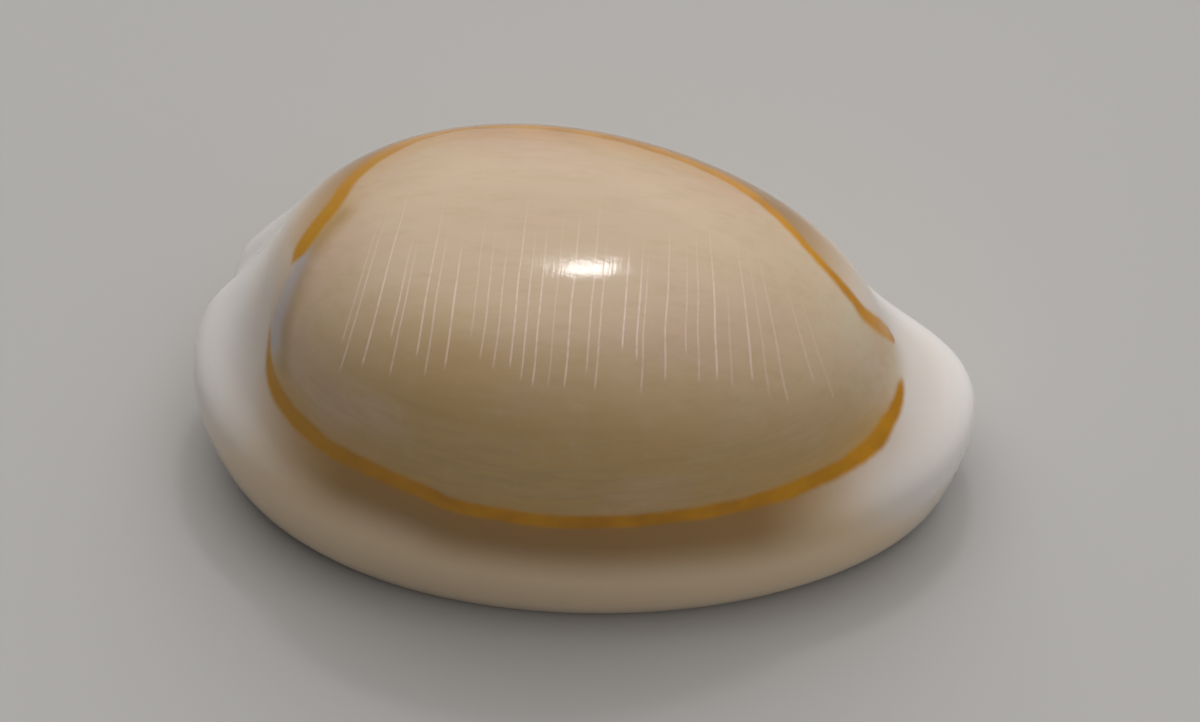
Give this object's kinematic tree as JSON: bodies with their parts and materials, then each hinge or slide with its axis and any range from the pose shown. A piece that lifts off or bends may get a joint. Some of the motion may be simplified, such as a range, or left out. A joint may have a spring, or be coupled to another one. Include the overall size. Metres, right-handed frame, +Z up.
{
  "type": "cowrie shell",
  "caption": "Egg-shaped sea-snail shell with a glossy beige dome, a golden ring, a pale callus rim and a toothed slit along its flat underside.",
  "frame": {"origin": "centre of the bounding box on the ground plane that the flat base rests on", "axes": "+X along the shell towards its front (siphon) end, -X the rear end, +Y towards the inner lip, -Y towards the outer lip, +Z up through the dome"},
  "size_m": [0.0242, 0.015, 0.0112],
  "materials": {
    "glazed_shell": "gloss"
  },
  "bodies": {
    "root": {"cowrie_shell": "glazed_shell"}
  },
  "joints": []
}
